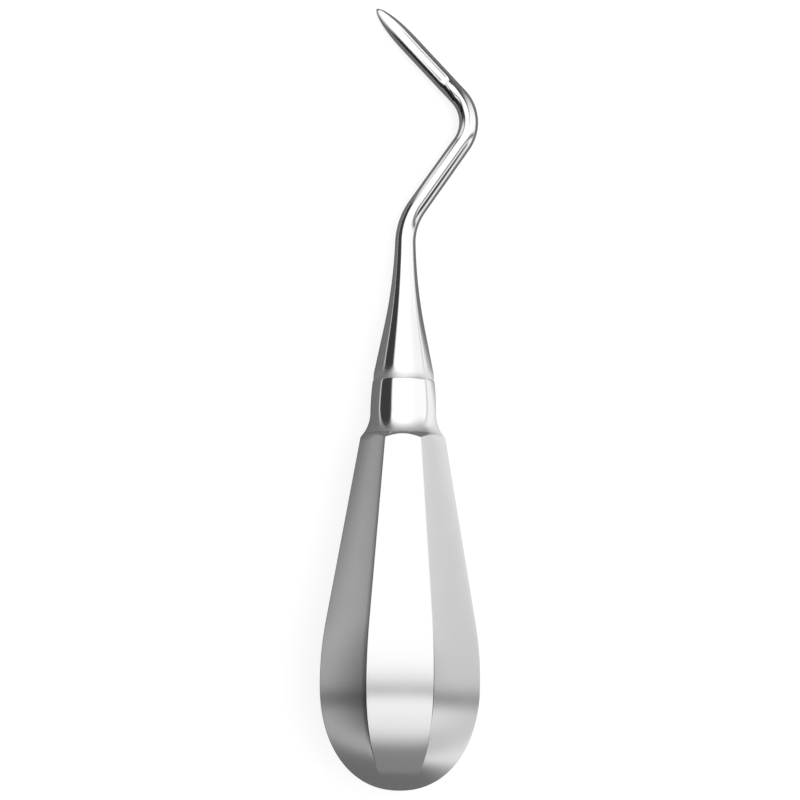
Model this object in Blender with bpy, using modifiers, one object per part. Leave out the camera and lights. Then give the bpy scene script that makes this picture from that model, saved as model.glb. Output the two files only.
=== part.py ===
"""Root elevator: a hollow octagonal pear handle, a turned ferrule, and a bent shank with a fluted blade.

Each piece is built upright on the instrument's own axis: the butt at the origin, the tip up +Z, the bends in
the XZ plane and the flute facing -Y. A parent empty then lays the instrument down as it comes to rest on a
table, touching at the underside of the handle's belly and at the back of the blade. The world's origin is
the middle of the flat that touches there, +Y runs from butt to tip and +Z is up.
"""

from math import acos, atan, atan2, cos, hypot, pi, radians, sin, sqrt, tan

import bmesh
import bpy
from mathutils import Vector

# Handle: a pear with eight flat facets. Apothems are half the width across two facets.
HANDLE_LENGTH = 0.06725
BELLY_STATION = 0.02025
BELLY_APOTHEM = 0.0151
NECK_APOTHEM = 0.0080
DOME_POWER = 2.18
SWELL_RADIUS = 0.067
FACETS = 8
EDGE_RADIUS = 0.0015
INNER_EDGE_RADIUS = 0.0004
HANDLE_WALL = 0.0011
REST_FLAT_LENGTH = 0.005

# Ferrule: a barrelled collar that flares into the neck, with a spigot below it and a bore for the tang.
FERRULE_LENGTH = 0.0101
COLLAR_RADIUS = 0.00628
COLLAR_TOP_RADIUS = 0.00590
FLARE_RADIUS = 0.0070
FOOT_RADIUS = 0.0075
SPIGOT_LENGTH = 0.0060
EDGE_BREAK = 0.00015

# Shank: a cone with a barrelled foot that runs out into a round rod, two bends in one plane, and the blade.
CONE_BASE_RADIUS = 0.00596
CONE_LENGTH = 0.0296
CONE_FOOT_LENGTH = 0.0015
CONE_FOOT_RADIUS = 0.0073
CONE_HALF_ANGLE = radians(11.6)
ROD_RADIUS = 0.00192
TANG_RADIUS = 0.0025
TANG_LENGTH = 0.0140
STRAIGHT_LEG = 0.0303
LOWER_TURN = radians(34.4)
LOWER_BEND_RADIUS = 0.0125
OFFSET_LEG = 0.02485
UPPER_TURN = radians(77.6)
UPPER_BEND_RADIUS = 0.0075
BLADE_LEG = 0.0294

# Blade: nearly round, with a narrow flute ground into its upper side, a flatter back and a pointed nose.
BLADE_HALF_WIDTH = 0.00180
BACK_DEPTH = 0.00140
NOSE_LENGTH = 0.0100
BACK_NOSE_LENGTH = 0.0140
NOSE_POWER = 2.5
NOSE_BLUNTNESS = 1.6
FLUTE_LENGTH = 0.0190
FLUTE_DEPTH = 0.00030
FLUTE_RADIUS = 0.0024
POINT_LENGTH = 0.00025

# Fits
SEAT_GAP = 0.0003
SPIGOT_CLEARANCE = 0.00015
TANG_CLEARANCE = 0.00010

# How finely the curves are divided
DOME_STEPS = 12
SWELL_STEPS = 5
STATION_SPACING = 0.0005
EDGE_STEPS = 3
NECK_STEPS = 64
FERRULE_STEPS = 48
BARREL_STEPS = 6
FLARE_STEPS = 7
SHANK_SIDES = 28
FOOT_STEPS = 3
CONE_STEPS = 8
BEND_STEP = radians(6)
RUNOUT_STEPS = 6
FLUTE_STEPS = 3
NOSE_STEPS = 6
POINT_STEPS = 4
SMOOTH_ANGLE = radians(14)

FERRULE_FOOT = HANDLE_LENGTH + SEAT_GAP
FERRULE_TOP = FERRULE_FOOT + FERRULE_LENGTH
SHANK_BASE = FERRULE_TOP + SEAT_GAP
BORE_RADIUS = TANG_RADIUS + TANG_CLEARANCE
FLUTE_RUNOUT = sqrt(2 * FLUTE_RADIUS * FLUTE_DEPTH)


def material(name, grey, roughness):
    """A bare steel of one grey, with the roughness of its finish."""
    made = bpy.data.materials.new(name)
    made.use_nodes = True
    shader = made.node_tree.nodes["Principled BSDF"]
    shader.inputs["Base Color"].default_value = (grey, grey, grey, 1.0)
    shader.inputs["Metallic"].default_value = 1.0
    shader.inputs["Roughness"].default_value = roughness
    return made


def mesh_object(name, mesh, collection, parent, steel=None):
    """An object of this mesh, placed by its parent. A cutter has no steel."""
    obj = bpy.data.objects.new(name, mesh)
    obj.parent = parent
    collection.objects.link(obj)
    if steel:
        mesh.materials.append(steel)
    return obj


def loft(name, rings, first_tip, last_tip=None):
    """A closed mesh through rings of equal count. An end with a tip runs to it; one without is capped."""
    shape = bmesh.new()
    loops = [[shape.verts.new(point) for point in ring] for ring in rings]
    for below, above in zip(loops, loops[1:]):
        for i, vert in enumerate(below):
            j = (i + 1) % len(below)
            shape.faces.new((vert, below[j], above[j], above[i]))
    for loop, tip in ((loops[0], first_tip), (loops[-1], last_tip)):
        if tip is None:
            shape.faces.new(loop)
            continue
        point = shape.verts.new(tip)
        for i, vert in enumerate(loop):
            shape.faces.new((vert, loop[(i + 1) % len(loop)], point))
    bmesh.ops.recalc_face_normals(shape, faces=shape.faces)
    mesh = bpy.data.meshes.new(name)
    shape.to_mesh(mesh)
    shape.free()
    mesh.shade_smooth()
    mesh.set_sharp_from_angle(angle=SMOOTH_ANGLE)
    return mesh


def outline(name, profile, closed):
    """A chain of edges through (radius, height) points, for turn() to spin."""
    count = len(profile)
    edges = [(i, i + 1) for i in range(count - 1)]
    if closed:
        edges.append((count - 1, 0))
    mesh = bpy.data.meshes.new(name)
    mesh.from_pydata([(radius, 0.0, height) for radius, height in profile], edges, [])
    return mesh


def turn(obj, steps):
    """Spins the object's profile about the instrument's axis."""
    screw = obj.modifiers.new("turn", "SCREW")
    screw.axis = "Z"
    screw.steps = screw.render_steps = steps
    screw.use_merge_vertices = True
    screw.merge_threshold = 0.00001


def cut(obj, cutter):
    boolean = obj.modifiers.new(cutter.name, "BOOLEAN")
    boolean.operation = "DIFFERENCE"
    boolean.object = cutter
    cutter.hide_render = True
    cutter.display_type = "WIRE"


def spread(start, end, count):
    """This many even steps from start to end, without start itself."""
    return [start + (end - start) * (i + 1) / count for i in range(count)]


def flank_angle():
    """Half angle of the straight flank, which leaves the swell's arc and meets the neck."""
    along = HANDLE_LENGTH - BELLY_STATION
    across = NECK_APOTHEM - BELLY_APOTHEM + SWELL_RADIUS
    return atan2(along, across) - acos(SWELL_RADIUS / hypot(along, across))


def apothem_at(height):
    """The handle's apothem above its belly: an arc, then the straight flank."""
    angle = flank_angle()
    arc = SWELL_RADIUS * sin(angle)
    rise = height - BELLY_STATION
    if rise <= arc:
        return BELLY_APOTHEM - SWELL_RADIUS + sqrt(SWELL_RADIUS**2 - rise**2)
    return BELLY_APOTHEM - SWELL_RADIUS * (1 - cos(angle)) - (rise - arc) * tan(angle)


def rest_pose():
    """Pitch at which the handle and the blade touch the table, and where the handle's contact flat starts.

    The flat is a chord of the facets' curve. It is slid along the swell until the line through it
    also touches the blade's back.
    """
    low, high = BELLY_STATION, HANDLE_LENGTH - REST_FLAT_LENGTH
    for _ in range(60):
        start = (low + high) / 2
        fall = apothem_at(start) - apothem_at(start + REST_FLAT_LENGTH)
        pitch = atan(fall / REST_FLAT_LENGTH)
        handle = start * sin(pitch) + apothem_at(start) * cos(pitch)
        blade = max(height * sin(pitch) + depth * cos(pitch) for height, depth in blade_back())
        if handle > blade:
            low = start
        else:
            high = start
    return pitch, start


def handle_profile(top):
    """(height, apothem) stations of the facets' middles, from just above the butt to the given height."""
    power = 2 / DOME_POWER
    dome = []
    for i in range(1, DOME_STEPS + 1):
        angle = pi / 2 * i / DOME_STEPS
        height = BELLY_STATION * (1 - cos(angle) ** power if i < DOME_STEPS else 1)
        dome.append((height, BELLY_APOTHEM * sin(angle) ** power))
    swell = spread(BELLY_STATION, BELLY_STATION + SWELL_RADIUS * sin(flank_angle()), SWELL_STEPS)
    start = rest_pose()[1]
    end = start + REST_FLAT_LENGTH
    clear = [h for h in swell if h < start - STATION_SPACING or h > end + STATION_SPACING]
    return dome + [(height, apothem_at(height)) for height in sorted([*clear, start, end, top])]


def offset_inwards(profile, distance):
    """The profile moved along its own normals, so that the wall has one thickness."""
    ends = [(0.0, 0.0), *profile]
    tangents = [Vector(b) - Vector(a) for a, b in zip(ends, ends[1:])]
    moved = []
    for i, point in enumerate(profile):
        before = tangents[i].normalized()
        after = tangents[min(i + 1, len(tangents) - 1)].normalized()
        middle = (before + after).normalized()
        inward = Vector((middle.y, -middle.x))
        moved.append(tuple(Vector(point) + inward * distance / before.dot(middle)))
    return moved


def octagon_ring(height, apothem, edge_radius):
    """A regular polygon of facets with rounded corners, one facet square to -Y."""
    radius = min(edge_radius, apothem)
    reach = (apothem - radius) / cos(pi / FACETS)
    ring = []
    for corner in range(FACETS):
        middle = 2 * pi * (corner + 0.5) / FACETS
        for step in range(EDGE_STEPS + 1):
            angle = 2 * pi * (corner + step / EDGE_STEPS) / FACETS
            x = reach * cos(middle) + radius * cos(angle)
            y = reach * sin(middle) + radius * sin(angle)
            ring.append((x, y, height))
    return ring


def octagon_loft(name, profile, edge_radius, butt):
    rings = [octagon_ring(height, apothem, edge_radius) for height, apothem in profile]
    return loft(name, rings, first_tip=(0.0, 0.0, butt))


def flare_drop(radius):
    """How far below the collar the hollow flare has opened out to this radius."""
    return sqrt(FLARE_RADIUS**2 - (FLARE_RADIUS + COLLAR_RADIUS - radius) ** 2)


def flare_start():
    """Height at which the flare leaves the collar."""
    return FERRULE_FOOT + flare_drop(FOOT_RADIUS)


def flare_at(height):
    """Radius of the flare, which runs from the collar out over the handle's neck."""
    drop = flare_start() - height
    return COLLAR_RADIUS + FLARE_RADIUS - sqrt(FLARE_RADIUS**2 - drop**2)


def neck_tool_profile():
    """The form tool that turns the handle's neck: it leaves a flat rim and scalloped ends to the facets."""
    widest = (NECK_APOTHEM + HANDLE_WALL) / cos(pi / FACETS)
    lowest = flare_start() - flare_drop(widest)
    clear = 2 * widest
    top = HANDLE_LENGTH + NECK_APOTHEM
    heights = [lowest, *spread(lowest, HANDLE_LENGTH, FLARE_STEPS)]
    flare = [(flare_at(height), height) for height in heights]
    return [(0.0, top), (clear, top), (clear, lowest), *flare, (0.0, HANDLE_LENGTH)]


def spigot_radius():
    """The largest round spigot that enters the octagonal mouth of the handle."""
    mouth = NECK_APOTHEM - HANDLE_WALL / cos(flank_angle())
    return mouth - SPIGOT_CLEARANCE


def ferrule_profile():
    """Closed (radius, height) loop: down the outside, in under the foot, down the spigot and up the bore."""
    start = flare_start()
    shoulder = FERRULE_TOP - EDGE_BREAK
    barrel = []
    for height in [shoulder, *spread(shoulder, start, BARREL_STEPS)]:
        part = (height - start) / (shoulder - start)
        barrel.append((COLLAR_RADIUS - (COLLAR_RADIUS - COLLAR_TOP_RADIUS) * part**2, height))
    flare = [(flare_at(height), height) for height in spread(start, FERRULE_FOOT, FLARE_STEPS)]
    end = FERRULE_FOOT - SPIGOT_LENGTH
    spigot = spigot_radius()
    return [
        (COLLAR_TOP_RADIUS - EDGE_BREAK, FERRULE_TOP),
        *barrel,
        *flare,
        (spigot, FERRULE_FOOT),
        (spigot, end + EDGE_BREAK),
        (spigot - EDGE_BREAK, end),
        (BORE_RADIUS, end),
        (BORE_RADIUS, FERRULE_TOP),
    ]


def cone_radius(rise):
    """Radius this far above the shank's base: a straight cone that an arc blends into the rod."""
    blend = cone_blend_radius()
    left = CONE_LENGTH - rise
    if left < blend * sin(CONE_HALF_ANGLE):
        return ROD_RADIUS + blend - sqrt(blend**2 - left**2)
    return CONE_BASE_RADIUS - rise * tan(CONE_HALF_ANGLE) - cone_foot(rise)


def cone_blend_radius():
    """Radius of the arc that leaves the straight cone and meets the rod where the cone's length ends."""
    short = CONE_LENGTH * tan(CONE_HALF_ANGLE) - (CONE_BASE_RADIUS - ROD_RADIUS)
    return short * cos(CONE_HALF_ANGLE) / (1 - cos(CONE_HALF_ANGLE))


def cone_foot(rise):
    """How far the barrelled foot of the cone has drawn in from its straight side."""
    below = max(0.0, CONE_FOOT_LENGTH - rise)
    return CONE_FOOT_RADIUS - sqrt(CONE_FOOT_RADIUS**2 - below**2)


def legs():
    """(length, turn) of each stretch of the shank's centreline, from its base to the blade's point."""
    lower = LOWER_BEND_RADIUS * tan(LOWER_TURN / 2)
    upper = UPPER_BEND_RADIUS * tan(UPPER_TURN / 2)
    return [
        (STRAIGHT_LEG - lower, 0.0),
        (LOWER_BEND_RADIUS * LOWER_TURN, LOWER_TURN),
        (OFFSET_LEG - lower - upper, 0.0),
        (UPPER_BEND_RADIUS * UPPER_TURN, -UPPER_TURN),
        (BLADE_LEG - upper, 0.0),
    ]


def centreline_at(distance):
    """(x, z, lean) of the centreline this far along it from the shank's base."""
    x, z, lean = 0.0, SHANK_BASE, 0.0
    for length, turned_by in legs():
        part = min(distance, length)
        if turned_by:
            radius = length / turned_by
            after = lean + part / radius
            x += radius * (cos(lean) - cos(after))
            z += radius * (sin(after) - sin(lean))
            lean = after
        else:
            x += part * sin(lean)
            z += part * cos(lean)
        distance -= part
    return x, z, lean


def shank_length():
    return sum(length for length, _ in legs())


def nose(to_tip, length):
    """Share of full size this far from the point: a blunt curve from 0 there to 1 at the nose's root."""
    return (1 - max(0.0, 1 - to_tip / length) ** NOSE_POWER) ** (1 / NOSE_BLUNTNESS)


def half_width(distance):
    """Half the shank's width in the plane of its bends."""
    if distance < CONE_LENGTH:
        return cone_radius(distance)
    blade_root = shank_length() - legs()[-1][0]
    part = min(1.0, (distance - CONE_LENGTH) / (blade_root - CONE_LENGTH))
    rod = ROD_RADIUS + (BLADE_HALF_WIDTH - ROD_RADIUS) * part
    return rod * nose(shank_length() - distance, NOSE_LENGTH)


def back_depth(distance):
    """Depth of the round back below the centreline."""
    to_tip = shank_length() - distance
    if to_tip > FLUTE_LENGTH:
        return half_width(distance)
    root = half_width(shank_length() - FLUTE_LENGTH)
    part = to_tip / FLUTE_LENGTH
    return (BACK_DEPTH + (root - BACK_DEPTH) * part) * nose(to_tip, BACK_NOSE_LENGTH)


def flute_floor(distance):
    """Height of the flute's floor above the centreline. It climbs out of the rod where the wheel ran out."""
    to_tip = shank_length() - distance
    past = max(0.0, to_tip - FLUTE_LENGTH) / FLUTE_RUNOUT
    return half_width(distance) - FLUTE_DEPTH * nose(to_tip, NOSE_LENGTH) * (1 - past**2)


def shank_ring(distance):
    """One section of the shank: round, or the flute's hollow wherever that lies lower."""
    x, z, lean = centreline_at(distance)
    width, back = half_width(distance), back_depth(distance)
    ring = []
    for side in range(SHANK_SIDES):
        angle = 2 * pi * side / SHANK_SIDES
        across = width * cos(angle)
        hollow = flute_floor(distance) + across**2 / (2 * FLUTE_RADIUS)
        up = min(width * sin(angle), hollow) if angle < pi else back * sin(angle)
        ring.append((x + across * cos(lean), -up, z - across * sin(lean)))
    return ring


def shank_distances():
    """Where the shank has its sections: along the cone, round the bends, and closer on the blade."""
    distances = spread(EDGE_BREAK, CONE_FOOT_LENGTH, FOOT_STEPS)
    distances += spread(CONE_FOOT_LENGTH, CONE_LENGTH, CONE_STEPS)
    reached = 0.0
    for length, turned_by in legs():
        if turned_by:
            distances += [reached, *spread(reached, reached + length, round(abs(turned_by) / BEND_STEP))]
        reached += length
    blade = blade_distances()
    return sorted({distance for distance in distances if distance < blade[0]} | set(blade))


def blade_distances():
    """The blade's sections, from the head of the flute's run-out to the point."""
    end = shank_length()
    head = end - FLUTE_LENGTH - FLUTE_RUNOUT
    return [
        head,
        *spread(head, end - FLUTE_LENGTH, RUNOUT_STEPS),
        *spread(end - FLUTE_LENGTH, end - NOSE_LENGTH, FLUTE_STEPS),
        *spread(end - NOSE_LENGTH, end - NOSE_LENGTH / 4, NOSE_STEPS),
        *spread(end - NOSE_LENGTH / 4, end - POINT_LENGTH, POINT_STEPS),
    ]


def blade_back():
    """(height, depth) of the blade's underside, section by section."""
    return [(centreline_at(distance)[1], back_depth(distance)) for distance in blade_distances()]


def round_ring(height, radius):
    ring = []
    for side in range(SHANK_SIDES):
        angle = 2 * pi * side / SHANK_SIDES
        ring.append((radius * cos(angle), -radius * sin(angle), height))
    return ring


def shank_mesh(name):
    """Tang, cone, bent rod and fluted blade as one forging."""
    tang_end = SHANK_BASE - TANG_LENGTH
    tang = [
        round_ring(tang_end, TANG_RADIUS - EDGE_BREAK),
        round_ring(tang_end + EDGE_BREAK, TANG_RADIUS),
        round_ring(SHANK_BASE, TANG_RADIUS),
        round_ring(SHANK_BASE, cone_radius(0.0) - EDGE_BREAK),
        round_ring(SHANK_BASE + EDGE_BREAK, cone_radius(EDGE_BREAK)),
    ]
    shank = [shank_ring(distance) for distance in shank_distances()]
    x, z, _ = centreline_at(shank_length())
    return loft(name, tang + shank, first_tip=(0.0, 0.0, tang_end), last_tip=(x, 0.0, z))


def lay_down(rest):
    """Turns the upright instrument onto its handle and blade, its contact flat centred on the origin."""
    pitch, start = rest_pose()
    middle = start + REST_FLAT_LENGTH / 2
    drop = (apothem_at(start) + apothem_at(start + REST_FLAT_LENGTH)) / 2
    rest.rotation_euler = (-pi / 2 - pitch, 0.0, 0.0)
    rest.location = (0.0, drop * sin(pitch) - middle * cos(pitch), middle * sin(pitch) + drop * cos(pitch))


def main():
    for obj in list(bpy.data.objects):
        bpy.data.objects.remove(obj)
    pieces = bpy.data.collections.new("root elevator")
    cutters = bpy.data.collections.new("cutters")
    for collection in (pieces, cutters):
        bpy.context.scene.collection.children.link(collection)
    satin = material("satin_steel", 0.72, 0.32)
    polished = material("polished_steel", 0.80, 0.10)
    rest = bpy.data.objects.new("rest", None)
    pieces.objects.link(rest)
    lay_down(rest)

    clear_of_rim = HANDLE_LENGTH + NECK_APOTHEM / 4
    outside = handle_profile(clear_of_rim)
    inside = offset_inwards(handle_profile(clear_of_rim + NECK_APOTHEM / 4), HANDLE_WALL)
    blank = octagon_loft("hollow_handle", outside, EDGE_RADIUS, 0.0)
    handle = mesh_object("hollow_handle", blank, pieces, rest, satin)
    hollow = octagon_loft("handle_cavity", inside, INNER_EDGE_RADIUS, HANDLE_WALL)
    cut(handle, mesh_object("handle_cavity", hollow, cutters, rest))
    tool = outline("neck_tool", neck_tool_profile(), closed=False)
    neck_tool = mesh_object("neck_tool", tool, cutters, rest)
    turn(neck_tool, NECK_STEPS)
    cut(handle, neck_tool)

    collar = outline("ferrule", ferrule_profile(), closed=True)
    ferrule = mesh_object("ferrule", collar, pieces, rest, polished)
    turn(ferrule, FERRULE_STEPS)

    mesh_object("shank_blade", shank_mesh("shank_blade"), pieces, rest, polished)


main()
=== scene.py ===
"""Looks of the root elevator: a satin pear handle with a polished ferrule and shank, on a pale table."""

import logging
from dataclasses import dataclass, replace
from enum import Enum
from math import acos, asin, atan2, cos, hypot, pi, radians, sin, sqrt, tan
from typing import Union

import bmesh
import bpy
from mathutils import Matrix, Vector


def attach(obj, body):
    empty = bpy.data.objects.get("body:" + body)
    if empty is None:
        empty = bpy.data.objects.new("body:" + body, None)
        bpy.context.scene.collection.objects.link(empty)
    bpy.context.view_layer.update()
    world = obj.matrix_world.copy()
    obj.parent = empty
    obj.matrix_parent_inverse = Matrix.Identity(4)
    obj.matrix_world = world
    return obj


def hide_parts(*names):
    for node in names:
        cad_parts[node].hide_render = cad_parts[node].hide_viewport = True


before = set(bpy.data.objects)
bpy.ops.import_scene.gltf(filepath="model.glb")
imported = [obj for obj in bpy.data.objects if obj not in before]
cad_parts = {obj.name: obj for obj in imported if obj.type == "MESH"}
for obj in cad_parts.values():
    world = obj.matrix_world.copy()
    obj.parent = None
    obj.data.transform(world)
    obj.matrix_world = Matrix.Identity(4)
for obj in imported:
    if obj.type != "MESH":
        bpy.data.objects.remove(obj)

LOG = logging.getLogger("root_elevator")
ROOT = "root"

Station = tuple[float, float]
Span = tuple[float, float]
Colour = tuple[float, float, float, float]
Value = Union["Signal", float, tuple[float, ...]]


class Slot(Enum):
    """Material slots of the record."""

    SATIN = "satin_steel"
    POLISHED = "polished_steel"


class Signal:
    """A value in a shader tree. Python's operators on it add Math nodes."""

    def __init__(self, nodes: "Nodes", socket: bpy.types.NodeSocket) -> None:
        """Wraps one output socket.

        Args:
            nodes: The tree that the socket belongs to.
            socket: The output to wrap.
        """
        self.nodes = nodes
        self.socket = socket

    def _math(self, operation: str, first: Value, second: Value) -> "Signal":
        """Adds one Math node."""
        return self.nodes.add("ShaderNodeMath", {"operation": operation}, {0: first, 1: second})

    def __add__(self, other: Value) -> "Signal":
        """Sum."""
        return self._math("ADD", self, other)

    def __radd__(self, other: Value) -> "Signal":
        """Reflected sum."""
        return self._math("ADD", other, self)

    def __sub__(self, other: Value) -> "Signal":
        """Difference."""
        return self._math("SUBTRACT", self, other)

    def __rsub__(self, other: Value) -> "Signal":
        """Reflected difference."""
        return self._math("SUBTRACT", other, self)

    def __mul__(self, other: Value) -> "Signal":
        """Product."""
        return self._math("MULTIPLY", self, other)

    def __rmul__(self, other: Value) -> "Signal":
        """Reflected product."""
        return self._math("MULTIPLY", other, self)

    def __truediv__(self, other: Value) -> "Signal":
        """Quotient."""
        return self._math("DIVIDE", self, other)

    def __rtruediv__(self, other: Value) -> "Signal":
        """Reflected quotient."""
        return self._math("DIVIDE", other, self)

    def size(self) -> "Signal":
        """Size without its sign."""
        return self.nodes.add("ShaderNodeMath", {"operation": "ABSOLUTE"}, {0: self})

    def smooth_step(self, low: float, high: float) -> "Signal":
        """A soft step of this value.

        Args:
            low: Value at which the result is 0.
            high: Value at which the result is 1.

        Returns:
            The stepped value.
        """
        settings = {"interpolation_type": "SMOOTHSTEP"}
        values = {"Value": self, "From Min": low, "From Max": high}
        return self.nodes.add("ShaderNodeMapRange", settings, values)


class Nodes:
    """Adds nodes to one shader tree."""

    def __init__(self, tree: bpy.types.NodeTree) -> None:
        """Empties the tree.

        Args:
            tree: The tree to fill.
        """
        self.tree = tree
        tree.nodes.clear()

    def add(
        self,
        kind: str,
        settings: dict[str, object],
        values: dict[str | int, Value],
        output: str | int = 0,
    ) -> Signal:
        """Adds one node.

        Args:
            kind: The node's type.
            settings: Its properties, which are set before its sockets.
            values: Numbers, tuples or signals by input name or number.
            output: Name or number of the output to return.

        Returns:
            That output as a signal. A node without outputs gives its first input.
        """
        node = self.tree.nodes.new(kind)
        for name, setting in settings.items():
            setattr(node, name, setting)
        for name, value in values.items():
            if isinstance(value, Signal):
                self.tree.links.new(value.socket, node.inputs[name])
            else:
                node.inputs[name].default_value = value
        return Signal(self, node.outputs[output] if node.outputs else node.inputs[0])

    def noise(self, where: Signal, scale: float, detail: float) -> Signal:
        """Fractal noise, from 0 to 1.

        Args:
            where: Coordinates.
            scale: Waves per metre.
            detail: Octaves.

        Returns:
            The noise.
        """
        return self.add("ShaderNodeTexNoise", {}, {"Vector": where, "Scale": scale, "Detail": detail})

    def object_place(self) -> Signal:
        """Object coordinates, in metres."""
        return self.add("ShaderNodeTexCoord", {}, {}, output="Object")

    def part_of(self, vector: Signal, axis: str) -> Signal:
        """One part of a vector: X, Y or Z."""
        return self.add("ShaderNodeSeparateXYZ", {}, {"Vector": vector}, output=axis)

    def ray(self, kind: str) -> Signal:
        """1 for rays of this kind and 0 for others."""
        return self.add("ShaderNodeLightPath", {}, {}, output=f"Is {kind} Ray")

    def blend(self, share: Value, first: Colour, second: Colour) -> Signal:
        """Mixes two colours.

        Args:
            share: 0 gives the first, 1 the second.
            first: A colour.
            second: A colour.

        Returns:
            The mixed colour.
        """
        values = {0: share, 6: first, 7: second}
        return self.add("ShaderNodeMix", {"data_type": "RGBA"}, values, output=2)


def grey(level: float, blue: float = 1.0) -> Colour:
    """A grey, whose blue is this many times as strong."""
    return level, level, level * blue, 1.0


def start_material(name: str) -> tuple[bpy.types.Material, Nodes]:
    """Starts a material.

    Args:
        name: Its name.

    Returns:
        The material, and the adder for its emptied tree.
    """
    made = bpy.data.materials.new(name)
    made.use_nodes = True
    return made, Nodes(made.node_tree)


def make_object(
    form: bmesh.types.BMesh, name: str, materials: list[bpy.types.Material]
) -> bpy.types.Object:
    """Makes an object of a finished form, which is then freed.

    Args:
        form: The form.
        name: The object's name.
        materials: Its materials, in the order of the faces' indices.

    Returns:
        The object, in the scene.
    """
    mesh = bpy.data.meshes.new(name)
    form.to_mesh(mesh)
    form.free()
    for material in materials:
        mesh.materials.append(material)
    made = bpy.data.objects.new(name, mesh)
    bpy.context.scene.collection.objects.link(made)
    return made


@dataclass(frozen=True)
class Pose:
    """How the instrument lies: turned down about its side axis until handle and blade touch the table."""

    pitch: float = radians(6.448652)
    contact_station: float = 0.0277696
    contact_apothem: float = 0.01462913

    def matrix(self) -> Matrix:
        """The move from the upright instrument, butt at the origin, to the table.

        Returns:
            The transform.
        """
        along, across = self.contact_station, self.contact_apothem
        y = across * sin(self.pitch) - along * cos(self.pitch)
        z = along * sin(self.pitch) + across * cos(self.pitch)
        return Matrix.Translation((0.0, y, z)) @ Matrix.Rotation(-pi / 2 - self.pitch, 4, "X")

    def upright(self, nodes: Nodes) -> Signal:
        """Object coordinates turned back to the upright instrument, so that +Z runs along the handle.

        Args:
            nodes: The tree to add to.

        Returns:
            The coordinates, in metres.
        """
        matrix = self.matrix()
        values = {
            "Vector": nodes.object_place(),
            "Location": tuple(matrix.to_translation()),
            "Rotation": tuple(matrix.to_euler("XYZ")),
        }
        return nodes.add("ShaderNodeMapping", {"vector_type": "TEXTURE"}, values)


@dataclass(frozen=True)
class DullRing:
    """A corner that polishing can't reach: heights on the upright instrument, and how dull it gets."""

    bright: float
    dull: float
    roughness: float

    def share(self, where: Signal) -> Signal:
        """How much roughness it adds at these upright coordinates."""
        return where.nodes.part_of(where, "Z").smooth_step(self.bright, self.dull) * self.roughness


@dataclass(frozen=True)
class Steel:
    """A bare stainless steel: fine lines along the instrument, a grain among them, faintly uneven."""

    name: str
    grey: float
    roughness: float
    line_pitch: float
    line_length: float
    line_depth: float
    line_roughness: float
    cloud_size: float
    cloud_roughness: float
    grey_spread: float
    blue: float = 1.004
    line_share: float = 0.6
    grain_size: float = 1 / 0.6
    shade_range: Span = (0.3, 0.7)
    bump_strength: float = 0.5
    ring: DullRing | None = None

    def material(self, pose: Pose) -> bpy.types.Material:
        """Makes the material.

        Args:
            pose: How the instrument lies, which turns the lines along it.

        Returns:
            The material.
        """
        made, nodes = start_material(self.name)
        where = pose.upright(nodes)
        stretch = (1.0, 1.0, self.line_pitch / self.line_length)
        along = nodes.add("ShaderNodeVectorMath", {"operation": "MULTIPLY"}, {0: where, 1: stretch})
        lines = nodes.noise(along, 1 / self.line_pitch, 2.0)
        grain = nodes.noise(where, 1 / (self.line_pitch * self.grain_size), 2.0)
        clouds = nodes.noise(where, 1 / self.cloud_size, 3.0)
        surface = lines * self.line_share + grain * (1 - self.line_share)
        rough = self.roughness + (surface - 0.5) * self.line_roughness
        rough = rough + (clouds - 0.5) * self.cloud_roughness
        if self.ring:
            rough = rough + self.ring.share(where)
        shade = (surface * 0.5 + clouds * 0.5).smooth_step(*self.shade_range)
        low, high = (grey(self.grey + side * self.grey_spread, self.blue) for side in (-1, 1))
        relief = {"Strength": self.bump_strength, "Distance": self.line_depth, "Height": surface}
        look = {
            "Base Color": nodes.blend(shade, low, high),
            "Metallic": 1.0,
            "Roughness": rough,
            "Normal": nodes.add("ShaderNodeBump", {}, relief),
        }
        shader = nodes.add("ShaderNodeBsdfPrincipled", {}, look)
        nodes.add("ShaderNodeOutputMaterial", {}, {"Surface": shader})
        return made


SATIN = Steel(
    name="satin_steel_brushed",
    grey=0.73,
    roughness=0.22,
    line_pitch=0.00012,
    line_length=0.0020,
    line_depth=0.0000004,
    line_roughness=0.05,
    cloud_size=0.006,
    cloud_roughness=0.03,
    grey_spread=0.008,
)
POLISHED = Steel(
    name="polished_steel_mirror",
    grey=0.84,
    roughness=0.09,
    line_pitch=0.00012,
    line_length=0.0030,
    line_depth=0.0000002,
    line_roughness=0.04,
    cloud_size=0.004,
    cloud_roughness=0.04,
    grey_spread=0.008,
)
COLLAR_FINISH = replace(POLISHED, name="polished_steel_collar", ring=DullRing(0.0705, 0.0676, 0.22))
SHANK_FINISH = replace(POLISHED, name="polished_steel_shank", ring=DullRing(0.0808, 0.0777, 0.42))
GROUND = Steel(
    name="ground_steel_blade",
    grey=0.84,
    roughness=0.20,
    line_pitch=0.00010,
    line_length=0.0020,
    line_depth=0.0000005,
    line_roughness=0.06,
    cloud_size=0.003,
    cloud_roughness=0.04,
    grey_spread=0.01,
)


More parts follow.
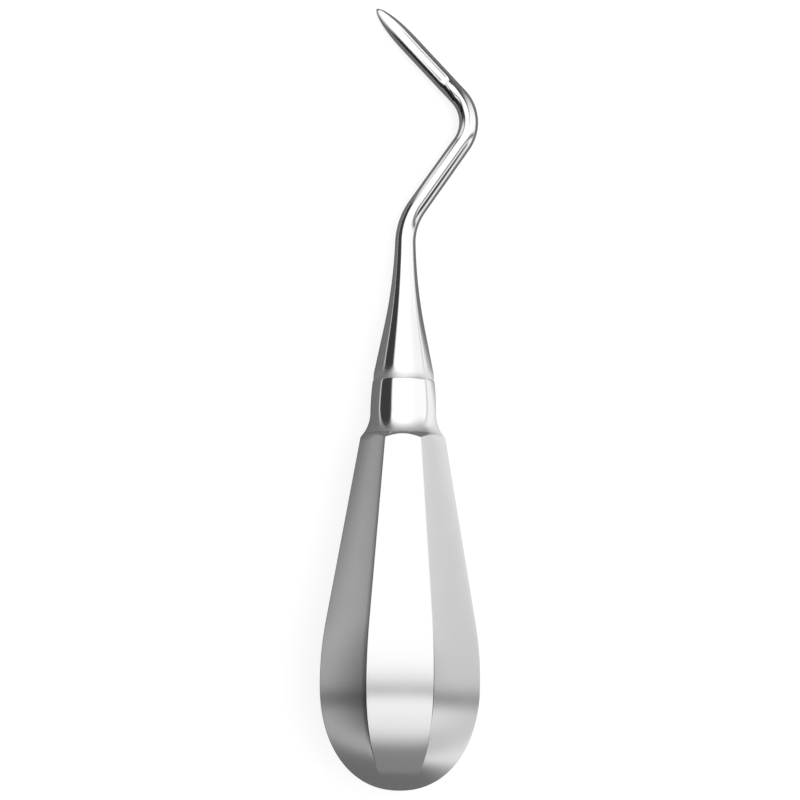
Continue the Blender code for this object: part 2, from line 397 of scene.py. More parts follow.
@dataclass(frozen=True)
class TablePaint:
    """The pale table: light grey paint under a veil, which makes it white to the camera with a weak shadow.

    Steel and glass see a denser veil, which is painted light and painted shade: painted light in the open
    wedge to the right, where no card stands, less of it far to the side, and painted shade near the
    instrument and in the strip under the camera's slot.
    """

    grey: float = 0.80
    camera_veil: float = 0.66
    camera_level: float = 1.20
    # The fields from here on set the painted light and painted shade that steel and glass see on the table.
    steel_veil: float = 0.81
    near: float = 0.04
    far: float = 0.68
    wedge: float = 1.08
    far_range: Span = (0.09, 0.20)
    wedge_tip: float = 0.052
    wedge_butt: float = -0.03
    butt_slope: float = 0.8
    wedge_fade: float = 0.03
    strip_middle: float = -0.009
    strip_slope: float = 0.105
    strip_range: Span = (0.03, 0.12)
    strip_start: Span = (0.02, 0.06)
    painted_shade_level: float = 0.30

    def level(self, nodes: Nodes) -> Signal:
        """How bright the veil is to steel and glass, from place to place: painted light and painted shade.

        Args:
            nodes: The tree to add to.

        Returns:
            The veil's level of painted light and shade.
        """
        where = nodes.object_place()
        across, along = nodes.part_of(where, "X"), nodes.part_of(where, "Y")
        # Painted light far to the side and in the wedge, painted shade near the instrument.
        far = across.size().smooth_step(*self.far_range) * (self.far - self.near)
        tip_side = (across - along + self.wedge_tip).smooth_step(0.0, self.wedge_fade)
        butt_side = (across + (along - self.wedge_butt) * self.butt_slope).smooth_step(0.0, self.wedge_fade)
        wedge = tip_side * butt_side * (1 - across.smooth_step(*self.far_range))
        painted_level = self.near + far + wedge * (self.wedge - self.near - far)
        # Painted shade in the strip under the camera's slot.
        bearing = (along - self.strip_middle) / across.size() + self.strip_slope
        off_strip = bearing.size().smooth_step(*self.strip_range)
        strip = (1 - off_strip) * across.size().smooth_step(*self.strip_start)
        return painted_level * (1 - strip * (1 - self.painted_shade_level))

    def material(self) -> bpy.types.Material:
        """Lays the veil over the paint. For steel and glass the veil is painted light and painted shade.

        Returns:
            The material.
        """
        # The table's material carries painted light and painted shade for steel and glass.
        made, nodes = start_material("pale_table_painted_light_and_shade")
        paint = nodes.add("ShaderNodeBsdfDiffuse", {}, {"Color": grey(self.grey)})
        camera = nodes.ray("Camera")
        steel = nodes.ray("Glossy") + nodes.ray("Transmission")
        # For steel and glass the veil's colour is painted light and painted shade, not the lit paint.
        colour = camera * self.camera_level + steel * self.level(nodes)
        veil = nodes.add("ShaderNodeEmission", {}, {"Color": colour})
        share = camera * self.camera_veil + steel * self.steel_veil
        both = nodes.add("ShaderNodeMixShader", {}, {0: share, 1: paint, 2: veil})
        nodes.add("ShaderNodeOutputMaterial", {}, {"Surface": both})
        return made


class Skin:
    """A surface grown ring by ring from one closed ring of edges, upright on the instrument's axis."""

    def __init__(self) -> None:
        """Starts an empty mesh."""
        self.form = bmesh.new()
        self.ring: list[bmesh.types.BMEdge] = []

    def verts(self) -> list[bmesh.types.BMVert]:
        """Returns the corners of the current ring."""
        return list(dict.fromkeys(vert for edge in self.ring for vert in edge.verts))

    def grow(self, material: int = 0) -> list[bmesh.types.BMVert]:
        """Extrudes the current ring, which the new one then replaces.

        Args:
            material: Index of the new faces' material.

        Returns:
            The new ring's corners, still where the old ones are.
        """
        grown = bmesh.ops.extrude_edge_only(self.form, edges=self.ring)["geom"]
        fresh = dict.fromkeys(item for item in grown if isinstance(item, bmesh.types.BMVert))
        edges = [item for item in grown if isinstance(item, bmesh.types.BMEdge)]
        self.ring = [edge for edge in edges if edge.verts[0] in fresh and edge.verts[1] in fresh]
        for edge in self.ring:
            edge.link_faces[0].material_index = material
        return list(fresh)

    def close(self, point: Vector, material: int = 0) -> None:
        """Draws the current ring together at a pole.

        Args:
            point: The pole.
            material: Index of the new faces' material.
        """
        bmesh.ops.pointmerge(self.form, verts=self.grow(material), merge_co=point)

    def finish(self, name: str, pose: Pose, materials: list[bpy.types.Material]) -> bpy.types.Object:
        """Lays the surface down on the table, below which nothing goes, and makes the object.

        Args:
            name: The object's name.
            pose: How the instrument lies.
            materials: Its materials, in the order of the faces' indices.

        Returns:
            The finished object.
        """
        bmesh.ops.remove_doubles(self.form, verts=self.form.verts, dist=1e-7)
        bmesh.ops.recalc_face_normals(self.form, faces=self.form.faces)
        bmesh.ops.transform(self.form, matrix=pose.matrix(), verts=self.form.verts)
        for vert in self.form.verts:
            vert.co.z = max(vert.co.z, 0.0)
        for face in self.form.faces:
            face.smooth = True
        return make_object(self.form, name, materials)


def spread(start: float, end: float, count: int) -> list[float]:
    """Even steps from start to end, without start itself.

    Args:
        start: Where the steps begin.
        end: The last step.
        count: How many.

    Returns:
        The steps.
    """
    return [start + (end - start) * (i + 1) / count for i in range(count)]


def present(piece: bpy.types.Object, node: str) -> None:
    """Puts a finished piece in place of its CAD node.

    Args:
        piece: The piece.
        node: The node that it stands for.
    """
    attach(piece, ROOT)
    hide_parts(node)
    LOG.info("%s: %d faces for node %s", piece.name, len(piece.data.polygons), node)


@dataclass
class Collar:
    """The turned ferrule: a barrelled collar that flares into the neck, a spigot, and the tang's bore."""

    foot: float = 0.06728
    top: float = 0.07763
    radius: float = 0.00628
    top_radius: float = 0.00590
    flare: float = 0.0070
    nominal_foot: float = 0.06755
    foot_radius: float = 0.0075
    spigot_radius: float = 0.00673
    spigot_end: float = 0.06155
    bore: float = 0.0026
    edge: float = 0.00010
    edge_bulge: float = 0.3
    barrel_steps: int = 20
    flare_steps: int = 22
    sides: int = 128
    sharp: float = radians(24)

    def drop(self, radius: float) -> float:
        """How far below the collar the flare has opened out to this radius."""
        return sqrt(self.flare**2 - (self.flare + self.radius - radius) ** 2)

    def start(self) -> float:
        """Returns the height at which the flare leaves the collar."""
        return self.nominal_foot + self.drop(self.foot_radius)

    def flare_at(self, height: float) -> float:
        """Radius of the flare at this height."""
        return self.radius + self.flare - sqrt(self.flare**2 - (self.start() - height) ** 2)

    def outside(self) -> list[Station]:
        """The outside, from the top edge down to the foot.

        Returns:
            Its (radius, height) stations.
        """
        start, shoulder = self.start(), self.top - self.edge
        bulge = self.edge_bulge * self.edge
        stations = [(self.top_radius - self.edge, self.top), (self.top_radius - bulge, self.top - bulge)]
        for height in [shoulder, *spread(shoulder, start, self.barrel_steps)]:
            part = (height - start) / (shoulder - start)
            stations.append((self.radius - (self.radius - self.top_radius) * part**2, height))
        below = spread(start, self.foot, self.flare_steps)
        return stations + [(self.flare_at(height), height) for height in below]

    def build(self, pose: Pose) -> bpy.types.Object:
        """Spins the profile about the axis.

        Args:
            pose: How the instrument lies.

        Returns:
            The ferrule.
        """
        skin = Skin()
        profile = [
            *self.outside(),
            (self.spigot_radius, self.foot),
            (self.spigot_radius, self.spigot_end + self.edge),
            (self.spigot_radius - self.edge, self.spigot_end),
            (self.bore, self.spigot_end),
            (self.bore, self.top),
        ]
        verts = [skin.form.verts.new((radius, 0.0, height)) for radius, height in profile]
        edges = [skin.form.edges.new(pair) for pair in zip(verts, verts[1:] + verts[:1])]
        bmesh.ops.spin(
            skin.form,
            geom=verts + edges,
            cent=(0.0, 0.0, 0.0),
            axis=(0.0, 0.0, 1.0),
            angle=2 * pi,
            steps=self.sides,
            use_merge=True,
        )
        ferrule = skin.finish("turned_ferrule", pose, [COLLAR_FINISH.material(pose)])
        ferrule.data.set_sharp_from_angle(angle=self.sharp)
        present(ferrule, "ferrule")
        return ferrule


@dataclass
class PearHandle:
    """The hollow handle: eight flat facets with rounded edges, which run out in scallops at the neck."""

    collar: Collar
    length: float = 0.06725
    belly: float = 0.02025
    apothem: float = 0.0151
    neck_apothem: float = 0.0080
    dome_power: float = 2.18
    swell: float = 0.067
    facets: int = 8
    edge: float = 0.00028
    crown: float = 0.00008
    wall: float = 0.0011
    pole_apothem: float = 0.0030
    cap_shares: tuple[float, ...] = (0.8, 0.6, 0.4, 0.2, 0.08)
    last_ring: float = 0.0656
    crest_edge: float = 0.00005
    crest_steps: int = 2
    columns: int = 10
    edge_steps: int = 5
    support: float = 0.00012
    dome_steps: int = 44
    swell_steps: int = 22
    flank_steps: int = 12
    land_steps: int = 6
    inner_stride: int = 3
    halvings: int = 40
    sharp: float = radians(40)

    def flank(self) -> float:
        """The straight flank above the swell.

        Returns:
            Its half angle.
        """
        along = self.length - self.belly
        across = self.neck_apothem - self.apothem + self.swell
        return atan2(along, across) - acos(self.swell / hypot(along, across))

    def apothem_at(self, height: float) -> float:
        """Half the width across two facets.

        Args:
            height: At or above the belly.

        Returns:
            The apothem there.
        """
        angle = self.flank()
        arc = self.swell * sin(angle)
        rise = height - self.belly
        if rise <= arc:
            return self.apothem - self.swell + sqrt(self.swell**2 - rise**2)
        return self.apothem - self.swell * (1 - cos(angle)) - (rise - arc) * tan(angle)

    def dome_at(self, angle: float) -> Station:
        """The rounded butt below the belly.

        Args:
            angle: Its running angle, from 0 at the butt to a right angle at the belly.

        Returns:
            The height and the apothem there.
        """
        power = 2 / self.dome_power
        rise = 1 - max(0.0, cos(angle)) ** power
        return self.belly * rise, self.apothem * sin(angle) ** power

    def first_angle(self) -> float:
        """Returns the dome's running angle at the first ring."""
        return asin((self.pole_apothem / self.apothem) ** (self.dome_power / 2))

    def stations(self) -> list[Station]:
        """The outside, from the dome's first ring to below the scallops.

        Returns:
            Its (height, apothem) stations.
        """
        first = self.first_angle()
        dome = [self.dome_at(angle) for angle in [first, *spread(first, pi / 2, self.dome_steps)]]
        arc = self.belly + self.swell * sin(self.flank())
        above = spread(self.belly, arc, self.swell_steps) + spread(arc, self.last_ring, self.flank_steps)
        return dome + [(height, self.apothem_at(height)) for height in above]

    def inner_stations(self) -> list[Station]:
        """The inner wall, from the mouth down: one thickness inside the outer stations.

        Returns:
            Its (height, apothem) stations.
        """
        outer = self.stations()[:: self.inner_stride] + [(self.length, self.neck_apothem)]
        inner = []
        for before, after in zip(outer, outer[1:]):
            along, across = after[0] - before[0], after[1] - before[1]
            length = hypot(along, across)
            middle = ((before[0] + after[0]) / 2, (before[1] + after[1]) / 2)
            inner.append((middle[0] + self.wall * across / length, middle[1] - self.wall * along / length))
        return inner[::-1]

    def first_ring(self, skin: Skin) -> tuple[bmesh.types.BMLayerItem, bmesh.types.BMLayerItem]:
        """Makes the belly's octagon with rounded corners and divided flats.

        Args:
            skin: The surface to start.

        Returns:
            Two layers: each corner's place in the belly's ring, and how it moves as the apothem grows.
        """
        form = skin.form
        home = form.verts.layers.float_vector.new("home")
        growth = form.verts.layers.float_vector.new("growth")
        half_turn = pi / self.facets
        made = bmesh.ops.create_circle(
            form,
            cap_ends=True,
            segments=self.facets,
            radius=self.apothem / cos(half_turn),
            matrix=Matrix.Rotation(half_turn, 4, "Z"),
        )
        bmesh.ops.bevel(
            form,
            geom=made["verts"],
            offset=self.edge * tan(half_turn),
            offset_type="OFFSET",
            segments=self.edge_steps,
            profile=0.5,
            affect="VERTICES",
            material=-1,
        )
        bmesh.ops.delete(form, geom=list(form.faces), context="FACES_ONLY")
        # A column stands close to each end of a flat, so that the rounding's shading stops there.
        for _ in range(2):
            for flat in self.flats(form):
                free = max(flat.verts, key=lambda vert: min(e.calc_length() for e in vert.link_edges))
                bmesh.utils.edge_split(flat, free, self.support / flat.calc_length())
        bmesh.ops.subdivide_edges(form, edges=self.flats(form), cuts=self.columns - 1)
        flat_half = (self.apothem - self.edge) * tan(half_turn)
        for vert in form.verts:
            facing = round(atan2(vert.co.y, vert.co.x) / (2 * half_turn)) * 2 * half_turn
            out = Vector((cos(facing), sin(facing), 0.0))
            aside = Vector((-sin(facing), cos(facing), 0.0))
            share = max(-1.0, min(1.0, vert.co.dot(aside) / flat_half))
            vert[home] = vert.co * (1 - self.crown / self.apothem * share**2)
            vert[growth] = out + aside * share * tan(half_turn)
        skin.ring = list(form.edges)
        return home, growth

    def flats(self, form: bmesh.types.BMesh) -> list[bmesh.types.BMEdge]:
        """The longest edges of the octagon's ring, one on each flat."""
        return sorted(form.edges, key=lambda edge: -edge.calc_length())[: self.facets]

    def cap(self, skin: Skin, shift: float) -> None:
        """Closes the dome over the current ring.

        Args:
            skin: The surface.
            shift: How far the cap is above the outer one.
        """
        first = self.first_angle()
        before = self.pole_apothem
        for share in self.cap_shares:
            height, apothem = self.dome_at(first * share)
            for vert in skin.grow():
                vert.co.x *= apothem / before
                vert.co.y *= apothem / before
                vert.co.z = height + shift
            before = apothem
        skin.close(Vector((0.0, 0.0, shift)))

    def scallop(self, vert: bmesh.types.BMVert, base: Vector, growth: Vector) -> None:
        """Moves a corner of the last ring up its own column to the flare.

        Args:
            vert: The corner.
            base: Its place in the belly's ring.
            growth: How it moves as the apothem grows.
        """
        low, high = self.last_ring, self.length
        for _ in range(self.halvings):
            height = (low + high) / 2
            spot = base + growth * (self.apothem_at(height) - self.apothem)
            if self.collar.flare_at(height) > spot.length:
                low = height
            else:
                high = height
        vert.co = spot + Vector((0.0, 0.0, height))

    def build(self, pose: Pose) -> bpy.types.Object:
        """Grows the outer skin, the flared land, the rim and the inner wall.

        Args:
            pose: How the instrument lies.

        Returns:
            The handle.
        """
        skin = Skin()
        home, growth = self.first_ring(skin)

        def place(verts: list[bmesh.types.BMVert], height: float, apothem: float) -> None:
            """Puts a ring at a station.

            Args:
                verts: Its corners.
                height: The station's height.
                apothem: The station's apothem.
            """
            for vert in verts:
                vert.co = vert[home] + vert[growth] * (apothem - self.apothem)
                vert.co.z = height

        stations = self.stations()
        place(skin.verts(), *stations[0])
        first = list(skin.ring)
        self.cap(skin, 0.0)
        skin.ring = first
        for height, apothem in stations[1:]:
            place(skin.grow(), height, apothem)
        for vert in skin.grow():
            self.scallop(vert, vert[home], vert[growth])
        crest = list(skin.ring)
        for left in range(self.land_steps, 0, -1):
            for vert in skin.grow(material=1):
                height = vert.co.z + (self.length - vert.co.z) / left
                across = vert.co.xy.normalized() * self.collar.flare_at(height)
                vert.co = (across.x, across.y, height)
        place(skin.grow(material=1), self.length, self.neck_apothem - self.wall / cos(self.flank()))
        for height, apothem in self.inner_stations():
            place(skin.grow(), height, apothem)
        self.cap(skin, self.wall)
        bmesh.ops.bevel(
            skin.form,
            geom=crest,
            offset=self.crest_edge,
            offset_type="OFFSET",
            segments=self.crest_steps,
            profile=0.5,
            affect="EDGES",
            material=-1,
        )
        handle = skin.finish("pear_handle", pose, [SATIN.material(pose), POLISHED.material(pose)])
        handle.data.set_sharp_from_angle(angle=self.sharp)
        present(handle, "hollow_handle")
        return handle


@dataclass
class BentShank:
    """One forging: the tang in the ferrule, the cone, the bent rod, and the blade with its ground flute."""

    base: float = 0.07795
    foot: float = 0.07764
    cone_radius: float = 0.00596
    cone_length: float = 0.0296
    cone_angle: float = radians(11.6)
    barrel_length: float = 0.0015
    barrel_round: float = 0.0061
    rod: float = 0.00192
    tang_radius: float = 0.0025
    tang_length: float = 0.0140
    straight_leg: float = 0.0303
    lower_turn: float = radians(34.4)
    lower_bend: float = 0.0125
    offset_leg: float = 0.02485
    upper_turn: float = radians(77.6)
    upper_bend: float = 0.0075
    blade_leg: float = 0.0294
    blade_width: float = 0.00180
    back: float = 0.0014
    nose_length: float = 0.0100
    back_nose_length: float = 0.0140
    nose_power: float = 2.5
    nose_bluntness: float = 1.6
    flute_length: float = 0.0190
    flute_depth: float = 0.00030
    flute_radius: float = 0.0024
    point: float = 0.00025
    edge: float = 0.00010
    top_sides: int = 12
    back_sides: int = 44
    steepest: float = radians(85)
    edge_steps: int = 3
    barrel_steps: int = 8
    cone_steps: int = 40
    leg_steps: int = 6
    bend_step: float = radians(2.5)
    head_steps: int = 16
    flute_steps: int = 12
    nose_steps: int = 26
    tip_share: float = 0.25
    tip_steps: int = 18
    point_share: float = 0.125
    point_steps: int = 5

    def legs(self) -> list[tuple[float, float]]:
        """The stretches of the centreline, from the base to the point.

        Returns:
            The length and the turn of each.
        """
        lower = self.lower_bend * tan(self.lower_turn / 2)
        upper = self.upper_bend * tan(self.upper_turn / 2)
        return [
            (self.straight_leg - lower, 0.0),
            (self.lower_bend * self.lower_turn, self.lower_turn),
            (self.offset_leg - lower - upper, 0.0),
            (self.upper_bend * self.upper_turn, -self.upper_turn),
            (self.blade_leg - upper, 0.0),
        ]

    def total(self) -> float:
        """Returns the centreline's length."""
        return sum(length for length, _ in self.legs())

    def frame_at(self, distance: float) -> Matrix:
        """Place and direction of the centreline.

        Args:
            distance: How far along it from the base. Below nought it is straight.

        Returns:
            A matrix with +X across the shank in the plane of its bends and +Z along it.
        """
        x, z, lean = 0.0, self.base + min(distance, 0.0), 0.0
        left = max(distance, 0.0)
        for length, turned_by in self.legs():
            part = min(left, length)
            if turned_by:
                radius = length / turned_by
                after = lean + part / radius
                x += radius * (cos(lean) - cos(after))
                z += radius * (sin(after) - sin(lean))
                lean = after
            else:
                x += part * sin(lean)
                z += part * cos(lean)
            left -= part
        return Matrix.Translation((x, 0.0, z)) @ Matrix.Rotation(lean, 4, "Y")

    def cone_at(self, distance: float) -> float:
        """The cone, which an arc blends into the rod and a barrelled foot ends at the seam.

        Args:
            distance: How far along the centreline.

        Returns:
            Its radius there.
        """
        slope = tan(self.cone_angle)
        short = self.cone_length * slope - (self.cone_radius - self.rod)
        blend = short * cos(self.cone_angle) / (1 - cos(self.cone_angle))
        left = self.cone_length - distance
        if left < blend * sin(self.cone_angle):
            return self.rod + blend - sqrt(blend**2 - left**2)
        below = max(0.0, self.barrel_length - distance)
        broken = max(0.0, self.foot - self.base + self.edge - distance)
        barrel = self.barrel_round - sqrt(self.barrel_round**2 - below**2)
        corner = self.edge - sqrt(self.edge**2 - broken**2)
        return self.cone_radius - distance * slope - barrel - corner

    def nose(self, to_tip: float, length: float) -> float:
        """Share of full size this far from the point."""
        return (1 - max(0.0, 1 - to_tip / length) ** self.nose_power) ** (1 / self.nose_bluntness)

    def half_width(self, distance: float) -> float:
        """The section's width in the plane of the bends.

        Args:
            distance: How far along the centreline.

        Returns:
            Half the width there.
        """
        if distance < self.cone_length:
            return self.cone_at(distance)
        root = self.total() - self.legs()[-1][0]
        part = min(1.0, (distance - self.cone_length) / (root - self.cone_length))
        rod = self.rod + (self.blade_width - self.rod) * part
        return rod * self.nose(self.total() - distance, self.nose_length)

    def depth(self, distance: float) -> float:
        """The round back, which gets thinner along the flute.

        Args:
            distance: How far along the centreline.

        Returns:
            Its depth below the centreline.
        """
        to_tip = self.total() - distance
        if to_tip > self.flute_length:
            return self.half_width(distance)
        root = self.half_width(self.total() - self.flute_length)
        part = to_tip / self.flute_length
        return (self.back + (root - self.back) * part) * self.nose(to_tip, self.back_nose_length)

    def run_out(self) -> float:
        """Returns the length over which the ball-ended wheel left the steel."""
        return sqrt(2 * self.flute_radius * self.flute_depth)

    def head(self) -> float:
        """Returns where the flute begins on the centreline."""
        return self.total() - self.flute_length - self.run_out()

    def floor(self, distance: float) -> float:
        """The flute's floor.

        Args:
            distance: How far along the centreline.

        Returns:
            Its height above the centreline.
        """
        to_tip = self.total() - distance
        past = max(0.0, to_tip - self.flute_length) / self.run_out()
        depth = self.flute_depth * self.nose(to_tip, self.nose_length) * (1 - past**2)
        return self.half_width(distance) - depth

    def edge_angle(self, distance: float) -> float:
        """Where the top's corners end on a section: at the flute's edges, where it is ground.

        Args:
            distance: How far along the centreline.

        Returns:
            The angle round the section.
        """
        even = (pi * (self.back_sides - self.top_sides)) / (2 * (self.back_sides + self.top_sides))
        past = (self.total() - distance - self.flute_length - self.run_out()) / (2 * self.run_out())
        if past >= 0:
            return self.steepest + (even - self.steepest) * min(1.0, past)
        width, floor = self.half_width(distance), self.floor(distance)
        slant = 1 + floor / self.flute_radius
        reach = sqrt(slant**2 + (width**2 - floor**2) / self.flute_radius**2) - slant
        return min(acos(self.flute_radius * sqrt(2 * max(0.0, reach)) / width), self.steepest)

    @staticmethod
    def angle_at(edge: float, turn: float) -> float:
        """Angle of a corner, whose turn runs from 0 to 1 over the top and from 1 to 2 round the back."""
        return edge + (pi - 2 * edge) * turn if turn <= 1 else pi - edge + (pi + 2 * edge) * (turn - 1)

    def corner(self, distance: float, turn: float) -> Vector:
        """One corner of a section.

        Args:
            distance: Where the section is.
            turn: From 0 to 1 over the top, and from 1 to 2 round the back.

        Returns:
            Its place in the upright instrument.
        """
        angle = self.angle_at(self.edge_angle(distance), turn)
        width = self.half_width(distance)
        across = width * cos(angle)
        up = (width if sin(angle) > 0 else self.depth(distance)) * sin(angle)
        if turn <= 1:
            up = min(up, self.floor(distance) + across**2 / (2 * self.flute_radius))
        return self.frame_at(distance) @ Vector((across, -up, 0.0))

    def distances(self) -> list[float]:
        """Where the sections are, from the seam to the point.

        Returns:
            Their distances along the centreline from the base.
        """
        seam = self.foot - self.base
        broken = seam + self.edge
        marks = [seam, *spread(seam, broken, self.edge_steps)]
        marks += spread(broken, self.barrel_length, self.barrel_steps)
        marks += spread(self.barrel_length, self.cone_length, self.cone_steps)
        reached = 0.0
        for length, turned_by in self.legs():
            count = max(self.leg_steps, round(abs(turned_by) / self.bend_step))
            marks += [mark for mark in spread(reached, reached + length, count) if mark > self.cone_length]
            reached += length
        from_end = [
            (self.flute_length + self.run_out(), 0),
            (self.flute_length, self.head_steps),
            (self.nose_length, self.flute_steps),
            (self.nose_length * self.tip_share, self.nose_steps),
            (self.point, self.tip_steps),
            (self.point * self.point_share, self.point_steps),
        ]
        ground = [self.head()]
        for (before, _), (after, count) in zip(from_end, from_end[1:]):
            ground += spread(self.total() - before, self.total() - after, count)
        return [mark for mark in marks if mark < self.head() - self.edge] + ground

    def first_ring(self, skin: Skin) -> bmesh.types.BMLayerItem:
        """Makes the end face of the tang.

        Args:
            skin: The surface to start.

        Returns:
            The layer that holds each corner's turn round the section.
        """
        turns = skin.form.verts.layers.float.new("turn")
        sides = self.top_sides + self.back_sides
        made = bmesh.ops.create_circle(skin.form, cap_ends=True, segments=sides, radius=1.0)
        for count, vert in enumerate(made["verts"]):
            top = count <= self.top_sides
            vert[turns] = count / self.top_sides if top else 1 + (count - self.top_sides) / self.back_sides
        skin.ring = list(skin.form.edges)
        return turns

    def build(self, pose: Pose) -> bpy.types.Object:
        """Grows the forging from the tang to the point.

        Args:
            pose: How the instrument lies.

        Returns:
            The shank with its blade.
        """
        skin = Skin()
        turns = self.first_ring(skin)
        even = self.edge_angle(0.0)

        def ring(verts: list[bmesh.types.BMVert], height: float, radius: float) -> None:
            """Puts a round ring on the straight axis.

            Args:
                verts: Its corners.
                height: Its height.
                radius: Its radius.
            """
            for vert in verts:
                angle = self.angle_at(even, vert[turns])
                vert.co = (radius * cos(angle), -radius * sin(angle), height)

        tang_end = self.base - self.tang_length
        ring(skin.verts(), tang_end, self.tang_radius - self.edge)
        ring(skin.grow(), tang_end + self.edge, self.tang_radius)
        ring(skin.grow(), self.foot, self.tang_radius)
        for distance in self.distances():
            for vert in skin.grow(material=int(distance > self.head())):
                vert.co = self.corner(distance, vert[turns])
        skin.close(self.frame_at(self.total()).to_translation(), material=1)
        finishes = [SHANK_FINISH.material(pose), GROUND.material(pose)]
        shank = skin.finish("bent_shank_and_blade", pose, finishes)
        present(shank, "shank_blade")
        return shank


@dataclass(frozen=True)
class Cap:
    """A round cap of directions with a soft rim. Angles are in degrees, azimuths from +X towards +Y."""

    azimuth: float
    elevation: float
    reach: float
    fade: float

    def pole(self) -> tuple[float, float, float]:
        """Returns the direction of its middle."""
        turned, raised = radians(self.azimuth), radians(self.elevation)
        return cos(raised) * cos(turned), cos(raised) * sin(turned), sin(raised)

    def share(self, nodes: Nodes, direction: Signal) -> Signal:
        """How far a direction is inside the cap.

        Args:
            nodes: The tree to add to.
            direction: Unit vectors.

        Returns:
            1 inside and 0 outside.
        """
        settings, values = {"operation": "DOT_PRODUCT"}, {0: direction, 1: self.pole()}
        nearness = nodes.add("ShaderNodeVectorMath", settings, values, output="Value")
        outer, inner = (cos(radians(self.reach + side * self.fade / 2)) for side in (1, -1))
        return nearness.smooth_step(outer, inner)


@dataclass(frozen=True)
class Card:
    """A part of the tent, where all its caps overlap, that is this many times as bright as the rest."""

    level: float
    caps: tuple[Cap, ...]

    def factor(self, nodes: Nodes, direction: Signal) -> Signal:
        """What the card makes of the tent's light.

        Args:
            nodes: The tree to add to.
            direction: Unit vectors.

        Returns:
            The card's level inside it and 1 outside.
        """
        share = self.caps[0].share(nodes, direction)
        for cap in self.caps[1:]:
            share = share * cap.share(nodes, direction)
        return 1 - share * (1 - self.level)


@dataclass(frozen=True)
class Tent:
    """The white tent round the table, made as the world. It lights the object, and steel shows the cards."""

    cards: tuple[Card, ...]
    white: float = 1.15

    def build(self) -> None:
        """Makes the world, which is even white for the camera."""
        world = bpy.data.worlds.new("light_tent")
        world.use_nodes = True
        nodes = Nodes(world.node_tree)
        direction = nodes.add("ShaderNodeTexCoord", {}, {}, output="Generated")
        factor = self.cards[0].factor(nodes, direction)
        for card in self.cards[1:]:
            factor = factor * card.factor(nodes, direction)
        lit = factor * self.white
        light = nodes.add("ShaderNodeBackground", {}, {"Color": lit + nodes.ray("Camera") * (1 - lit)})
        nodes.add("ShaderNodeOutputWorld", {}, {"Surface": light})
        bpy.context.scene.world = world


@dataclass(frozen=True)
class Flag:
    """A small round card near the shank with a soft rim, which only steel shows. It faces in degrees."""

    name: str
    centre: tuple[float, float, float]
    facing: float
    radius: float
    level: float
    core: float = 0.55
    sides: int = 48

    def material(self) -> bpy.types.Material:
        """Makes its even grey, which fades out from the core to the rim.

        Returns:
            The material.
        """
        made, nodes = start_material(self.name)
        settings, values = {"operation": "DISTANCE"}, {0: nodes.object_place(), 1: self.centre}
        distance = nodes.add("ShaderNodeVectorMath", settings, values, output="Value")
        glow = nodes.add("ShaderNodeEmission", {}, {"Color": grey(self.level)})
        clear = nodes.add("ShaderNodeBsdfTransparent", {}, {})
        share = distance.smooth_step(self.radius, self.core * self.radius)
        mixed = nodes.add("ShaderNodeMixShader", {}, {0: share, 1: clear, 2: glow})
        nodes.add("ShaderNodeOutputMaterial", {}, {"Surface": mixed})
        return made

    def build(self) -> bpy.types.Object:
        """Makes the card, upright and turned to its azimuth.

        Returns:
            The card.
        """
        form = bmesh.new()
        made = bmesh.ops.create_circle(form, cap_ends=True, segments=self.sides, radius=self.radius)
        turn = Matrix.Rotation(radians(self.facing), 4, "Z") @ Matrix.Rotation(pi / 2, 4, "Y")
        bmesh.ops.transform(form, matrix=Matrix.Translation(self.centre) @ turn, verts=made["verts"])
        card = make_object(form, self.name, [self.material()])
        card.visible_camera = False
        card.visible_diffuse = False
        card.visible_shadow = False
        card.visible_transmission = False
        return card


# The two slots are the halves of the gap that the camera looks through.
KEY = Card(1.22, (Cap(90.0, 66.0, 30.0, 24.0),))
LEFT_CARD = Card(0.045, (Cap(195.0, -39.0, 90.0, 7.0), Cap(165.0, 0.0, 84.0, 24.0)))
LEFT_SLOT = Card(0.0, (Cap(96.0, -3.7, 93.0, 9.0), Cap(276.0, 3.7, 93.0, 9.0), Cap(180.0, 0.0, 90.0, 1.0)))
RIGHT_SLOT = Card(0.0, (Cap(84.0, -3.7, 93.0, 9.0), Cap(264.0, 3.7, 93.0, 9.0), Cap(0.0, 0.0, 90.0, 1.0)))
TIP_CARD = Card(0.20, (Cap(90.0, 0.0, 43.0, 55.0), Cap(90.0, -90.0, 110.0, 50.0)))
BUTT_CARD = Card(0.25, (Cap(260.0, 0.0, 68.0, 40.0), Cap(90.0, -90.0, 147.0, 40.0)))


@dataclass(frozen=True)
class SoftKey:
    """The soft lamp at the right, tilted to the instrument. The steel doesn't show it."""

    size: float = 0.5
    energy: float = 2.5
    tilt: float = radians(18)
    reach: float = 0.9
    along: float = 0.05

    def build(self) -> bpy.types.Object:
        """Hangs the lamp.

        Returns:
            The lamp.
        """
        data = bpy.data.lights.new("soft_key", "AREA")
        data.size = self.size
        data.energy = self.energy
        lamp = bpy.data.objects.new("soft_key", data)
        lamp.location = (self.reach * sin(self.tilt), self.along, self.reach * cos(self.tilt))
        lamp.rotation_euler = (0.0, self.tilt, 0.0)
        lamp.visible_glossy = False
        bpy.context.scene.collection.objects.link(lamp)
        return lamp


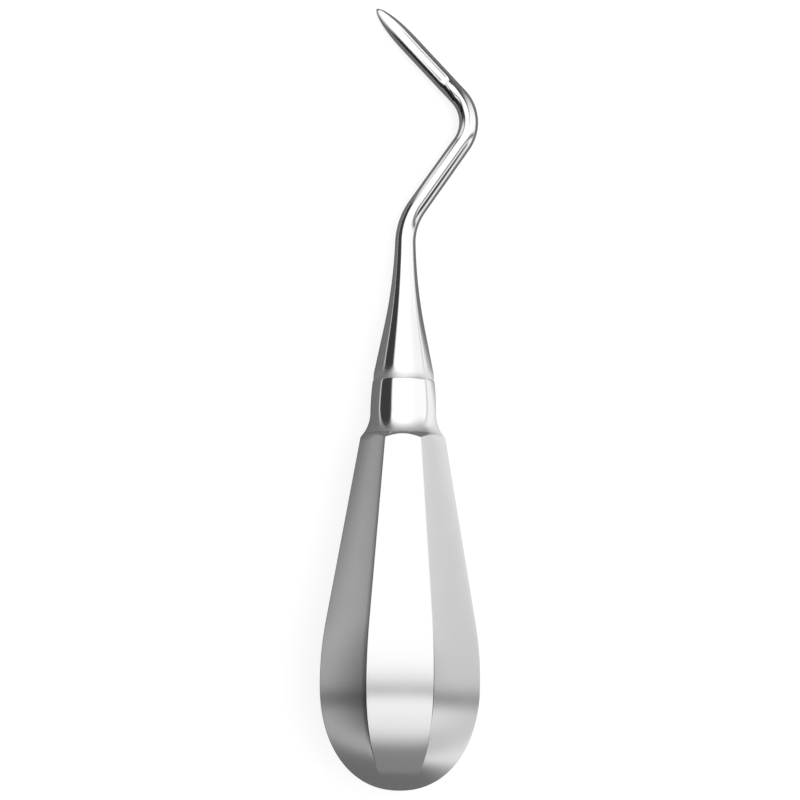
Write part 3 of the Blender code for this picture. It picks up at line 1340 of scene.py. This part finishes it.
@dataclass(frozen=True)
class Overhead:
    """The camera, which looks straight down and is rolled as the photograph is."""

    lens: float = 139.2
    sensor: float = 36.0
    place: tuple[float, float, float] = (-0.00065, 0.0476, 0.600)
    roll: float = radians(0.70)
    nearest: float = 0.01

    def build(self) -> bpy.types.Object:
        """Hangs the camera over the instrument.

        Returns:
            The camera.
        """
        data = bpy.data.cameras.new("overhead")
        data.lens = self.lens
        data.sensor_width = self.sensor
        data.clip_start = self.nearest
        camera = bpy.data.objects.new("overhead", data)
        camera.location = self.place
        camera.rotation_euler = (0.0, 0.0, self.roll)
        bpy.context.scene.collection.objects.link(camera)
        bpy.context.scene.camera = camera
        return camera


@dataclass
class Studio:
    """Table, tent, cards, lamp and camera."""

    table_size: float = 6.0
    paint: TablePaint = TablePaint()
    tent: Tent = Tent((KEY, LEFT_CARD, LEFT_SLOT, RIGHT_SLOT, TIP_CARD, BUTT_CARD))
    lamp: SoftKey = SoftKey()
    camera: Overhead = Overhead()
    flags: tuple[Flag, ...] = (
        Flag("white_flag", (-0.030, 0.128, 0.017), 21.0, 0.023, 0.9),
        Flag("dark_flag_right", (0.11, 0.008, 0.115), 138.0, 0.095, 0.04),
        Flag("dark_flag_tip", (0.022, 0.137, 0.026), 167.0, 0.042, 0.10),
    )

    def table(self) -> bpy.types.Object:
        """Makes the table's top.

        Returns:
            The table.
        """
        form = bmesh.new()
        bmesh.ops.create_grid(form, x_segments=2, y_segments=2, size=self.table_size / 2)
        made = make_object(form, "table_top", [self.paint.material()])
        return made

    def build(self) -> None:
        """Sets up the whole studio."""
        self.table()
        self.tent.build()
        for flag in self.flags:
            flag.build()
        self.lamp.build()
        self.camera.build()
        bpy.context.scene.view_settings.view_transform = "Standard"


def main() -> None:
    """Builds the instrument and the studio."""
    logging.basicConfig(level=logging.INFO, format="%(name)s: %(message)s")
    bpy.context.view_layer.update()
    pose = Pose()
    collar = Collar()
    collar.build(pose)
    PearHandle(collar).build(pose)
    BentShank().build(pose)
    Studio().build()


if __name__ == "__main__":
    main()
